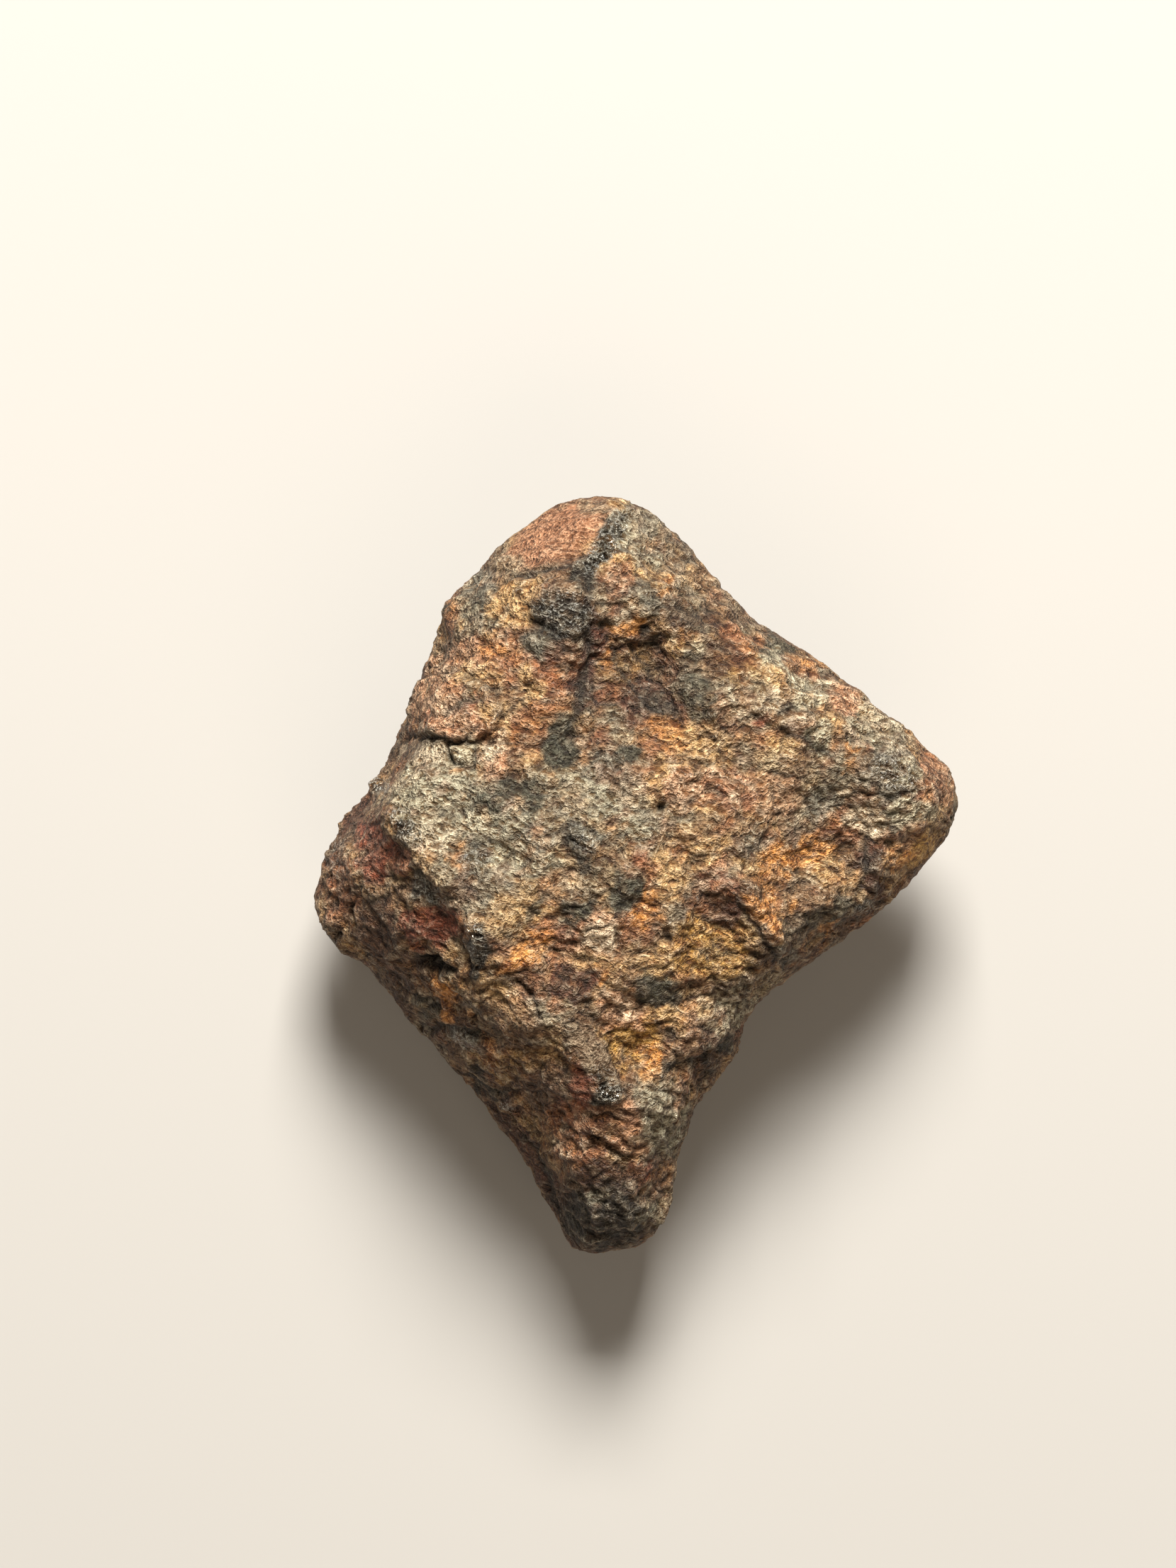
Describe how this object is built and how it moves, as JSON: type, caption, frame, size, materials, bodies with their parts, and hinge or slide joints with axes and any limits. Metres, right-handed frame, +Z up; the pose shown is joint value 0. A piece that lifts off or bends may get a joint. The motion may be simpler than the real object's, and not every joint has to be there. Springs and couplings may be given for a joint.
{
  "type": "iron meteorite",
  "caption": "Small rust-brown iron meteorite, a four-cornered lump with a blunt knob, a tapering prong and shallow hollows in its broad face; it rests on a small flat spot.",
  "frame": {"origin": "on the flat spot's plane, under the middle of the part's outline seen from above", "axes": "+Z up from the flat spot to the broad hollowed face, +Y from the prong towards the knob, +X towards the right-hand corner seen from above with the knob at the top"},
  "size_m": [0.0212, 0.025, 0.0106],
  "materials": {
    "rusted_iron": "rough weathered crust, dark brown to grey-green with rust-orange patches and small dull metallic glints on its crests"
  },
  "bodies": {
    "root": {"meteorite": "rusted_iron"}
  },
  "joints": []
}
